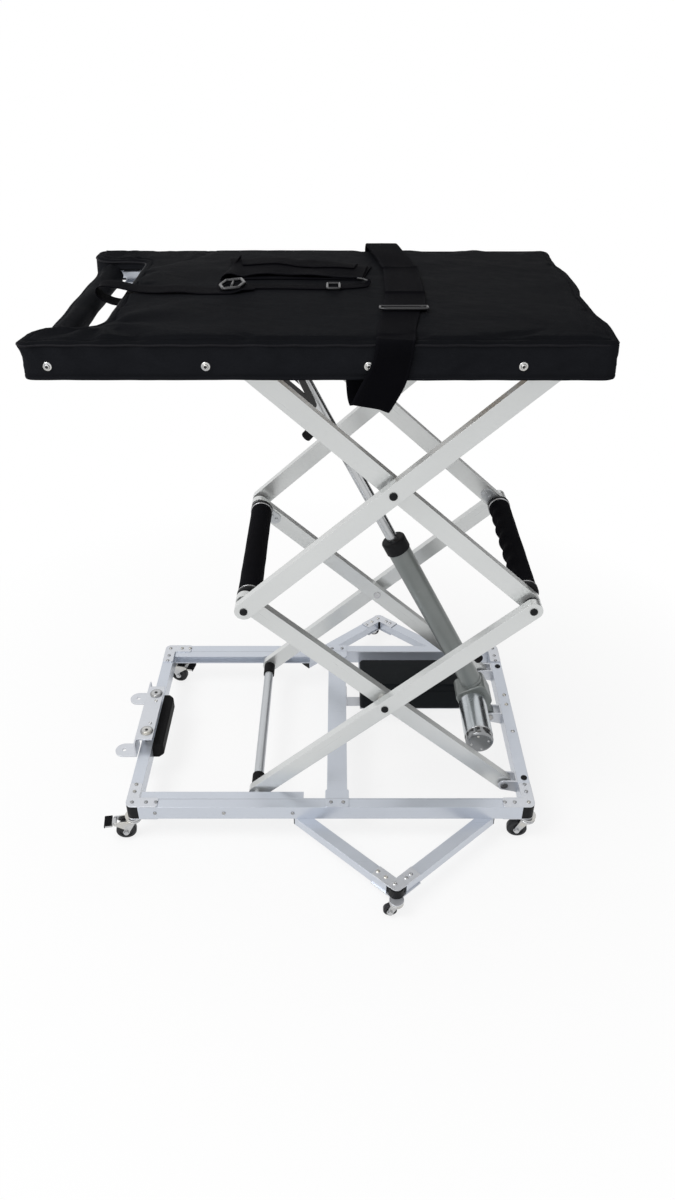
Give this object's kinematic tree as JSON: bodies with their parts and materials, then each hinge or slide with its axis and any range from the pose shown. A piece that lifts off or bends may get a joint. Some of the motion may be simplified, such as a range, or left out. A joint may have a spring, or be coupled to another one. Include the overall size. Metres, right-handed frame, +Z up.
{
  "type": "electric scissor lift cart",
  "caption": "Raised scissor lift cart with a long soft-covered platform, crossed arms, an angled linear actuator, an open base frame with side wings, castors, grips and straps.",
  "frame": {"origin": "centre of the bounding box's base, on the floor that the castors stand on", "axes": "+Z up; +X along the cart from the hitch end to the fixed pivots; +Y across the cart, away from the side that the picture shows"},
  "size_m": [1.075, 1.104, 1.274],
  "materials": {
    "anodised_aluminium": "satin anodised",
    "zinc_steel": "bright zinc plated",
    "grey_paint": "smooth grey paint",
    "black_steel": "black powder coat",
    "black_plastic": "matt black",
    "black_rubber": "matt black",
    "black_foam": "soft foam",
    "grey_polyurethane": "dark smooth tread",
    "cover_fabric": "coated woven cover, dark blue black",
    "webbing": "black woven webbing",
    "deck_wood": "plain plywood"
  },
  "bodies": {
    "base": {"base_rails": "anodised_aluminium", "frame_blocks": "black_plastic", "frame_plates": "anodised_aluminium", "base_tracks": "anodised_aluminium", "arm_clevises": "zinc_steel", "actuator_clevis": "zinc_steel", "base_fasteners": "zinc_steel", "wing_tubes": "anodised_aluminium", "hitch_bracket": "anodised_aluminium", "hitch_bumper": "black_rubber", "control_box": "black_plastic", "control_box_tray": "anodised_aluminium", "castor_mounts": "zinc_steel", "motor_cable": "black_rubber"},
    "lower_inner": {"lower_inner_arms": "anodised_aluminium", "lower_pivot_pins": "zinc_steel", "left_handle": "zinc_steel", "left_grip": "black_foam"},
    "lower_outer": {"lower_outer_arms": "anodised_aluminium", "slider_axle": "anodised_aluminium", "lower_rubber_parts": "black_rubber"},
    "lower_roller_pair": {"lower_rollers": "black_plastic"},
    "upper_outer": {"upper_outer_arms": "anodised_aluminium", "upper_fixed_axle": "zinc_steel"},
    "upper_inner": {"upper_inner_arms": "anodised_aluminium", "upper_pivot_pins": "zinc_steel", "right_handle": "zinc_steel", "right_grip": "black_foam", "upper_slider_axle": "zinc_steel", "lift_yoke": "black_steel", "upper_bumpers": "black_rubber"},
    "upper_roller_pair": {"upper_rollers": "black_plastic"},
    "platform": {"platform_frame": "anodised_aluminium", "grab_bar_foam": "black_foam", "deck_board": "deck_wood", "platform_tracks": "anodised_aluminium", "platform_pivots": "black_plastic", "platform_cover": "cover_fabric", "lashing_strap": "webbing", "shoulder_strap": "webbing"},
    "actuator": {"gearbox": "grey_paint", "motor": "grey_paint", "motor_cap": "black_plastic", "actuator_tube": "grey_paint", "actuator_collar": "black_plastic"},
    "rod": {"actuator_rod": "zinc_steel"},
    "front_left_swivel": {"front_left_fork": "zinc_steel"},
    "front_left_roller": {"front_left_wheel": "grey_polyurethane"},
    "front_left_brake": {"front_left_pedal": "zinc_steel"},
    "rear_left_swivel": {"rear_left_fork": "zinc_steel"},
    "rear_left_roller": {"rear_left_wheel": "grey_polyurethane"},
    "rear_left_brake": {"rear_left_pedal": "zinc_steel"},
    "front_right_swivel": {"front_right_fork": "zinc_steel"},
    "front_right_roller": {"front_right_wheel": "grey_polyurethane"},
    "rear_right_swivel": {"rear_right_fork": "zinc_steel"},
    "rear_right_roller": {"rear_right_wheel": "grey_polyurethane"},
    "front_wing_swivel": {"front_wing_fork": "zinc_steel"},
    "front_wing_roller": {"front_wing_wheel": "grey_polyurethane"},
    "rear_wing_swivel": {"rear_wing_fork": "zinc_steel"},
    "rear_wing_roller": {"rear_wing_wheel": "grey_polyurethane"}
  },
  "joints": [
    {"name": "lift", "type": "hinge", "parent": "base", "child": "lower_inner", "pos_m": [0.4665, 0, 0.102], "axis": [0, 1, 0], "range_deg": [-36.8, 0]},
    {"name": "lower_cross", "type": "hinge", "parent": "lower_inner", "child": "lower_outer", "pos_m": [0.15638, 0, 0.37928], "axis": [0, 1, 0], "range_deg": [0, 73.65]},
    {"name": "lower_roller_spin", "type": "hinge", "parent": "lower_outer", "child": "lower_roller_pair", "pos_m": [-0.15374, 0, 0.102], "axis": [0, 1, 0], "continuous": true},
    {"name": "left_knee", "type": "hinge", "parent": "lower_inner", "child": "upper_outer", "pos_m": [-0.15374, 0, 0.65655], "axis": [0, 1, 0], "range_deg": [0, 73.65]},
    {"name": "upper_cross", "type": "hinge", "parent": "upper_outer", "child": "upper_inner", "pos_m": [0.15638, 0, 0.93383], "axis": [0, 1, 0], "range_deg": [-73.65, 0]},
    {"name": "upper_roller_spin", "type": "hinge", "parent": "upper_inner", "child": "upper_roller_pair", "pos_m": [-0.15374, 0, 1.21111], "axis": [0, 1, 0], "continuous": true},
    {"name": "platform_pivot", "type": "hinge", "parent": "upper_outer", "child": "platform", "pos_m": [0.4665, 0, 1.21111], "axis": [0, 1, 0], "range_deg": [-36.85, 0]},
    {"name": "actuator_tilt", "type": "hinge", "parent": "base", "child": "actuator", "pos_m": [0.4665, 0.035, 0.102], "axis": [0, 1, 0], "range_deg": [-52.12, 0]},
    {"name": "rod_slide", "type": "slide", "parent": "actuator", "child": "rod", "axis": [-0.4558, 0, 0.8901], "range_m": [-0.43687, 0]},
    {"name": "front_left_swivel_turn", "type": "hinge", "parent": "base", "child": "front_left_swivel", "pos_m": [-0.4585, -0.305, 0.025], "axis": [0, 0, 1], "continuous": true},
    {"name": "front_left_wheel_spin", "type": "hinge", "parent": "front_left_swivel", "child": "front_left_roller", "pos_m": [-0.48029, -0.30806, 0.025], "axis": [0.1392, -0.9903, 0], "continuous": true},
    {"name": "front_left_brake_pedal", "type": "hinge", "parent": "front_left_swivel", "child": "front_left_brake", "pos_m": [-0.50306, -0.31126, 0.05615], "axis": [0.1392, -0.9903, 0], "range_deg": [0, 12]},
    {"name": "rear_left_swivel_turn", "type": "hinge", "parent": "base", "child": "rear_left_swivel", "pos_m": [-0.4585, 0.305, 0.025], "axis": [0, 0, 1], "continuous": true},
    {"name": "rear_left_wheel_spin", "type": "hinge", "parent": "rear_left_swivel", "child": "rear_left_roller", "pos_m": [-0.43698, 0.30043, 0.025], "axis": [0.2079, 0.9781, 0], "continuous": true},
    {"name": "rear_left_brake_pedal", "type": "hinge", "parent": "rear_left_swivel", "child": "rear_left_brake", "pos_m": [-0.41448, 0.29564, 0.05615], "axis": [0.2079, 0.9781, 0], "range_deg": [0, 12]},
    {"name": "front_right_swivel_turn", "type": "hinge", "parent": "base", "child": "front_right_swivel", "pos_m": [0.5175, -0.305, 0.025], "axis": [0, 0, 1], "continuous": true},
    {"name": "front_right_wheel_spin", "type": "hinge", "parent": "front_right_swivel", "child": "front_right_roller", "pos_m": [0.49571, -0.30194, 0.025], "axis": [-0.1392, -0.9903, 0], "continuous": true},
    {"name": "rear_right_swivel_turn", "type": "hinge", "parent": "base", "child": "rear_right_swivel", "pos_m": [0.5175, 0.305, 0.025], "axis": [0, 0, 1], "continuous": true},
    {"name": "rear_right_wheel_spin", "type": "hinge", "parent": "rear_right_swivel", "child": "rear_right_roller", "pos_m": [0.49562, 0.3027, 0.025], "axis": [0.1045, -0.9945, 0], "continuous": true},
    {"name": "front_wing_swivel_turn", "type": "hinge", "parent": "base", "child": "front_wing_swivel", "pos_m": [0.1815, -0.535, 0.016], "axis": [0, 0, 1], "continuous": true},
    {"name": "front_wing_wheel_spin", "type": "hinge", "parent": "front_wing_swivel", "child": "front_wing_roller", "pos_m": [0.1675, -0.535, 0.016], "axis": [0, -1, 0], "continuous": true},
    {"name": "rear_wing_swivel_turn", "type": "hinge", "parent": "base", "child": "rear_wing_swivel", "pos_m": [0.1815, 0.535, 0.016], "axis": [0, 0, 1], "continuous": true},
    {"name": "rear_wing_wheel_spin", "type": "hinge", "parent": "rear_wing_swivel", "child": "rear_wing_roller", "pos_m": [0.1675, 0.535, 0.016], "axis": [0, -1, 0], "continuous": true}
  ],
  "couplings": [
    {"joint": "lower_cross", "follows": "lift", "ratio": -2},
    {"joint": "left_knee", "follows": "lift", "ratio": -2},
    {"joint": "upper_cross", "follows": "lift", "ratio": 2},
    {"joint": "platform_pivot", "follows": "lift", "ratio": 1},
    {"joint": "actuator_tilt", "follows": "lift", "ratio": 1.4148},
    {"joint": "rod_slide", "follows": "lift", "m_per_rad": 0.67972}
  ]
}
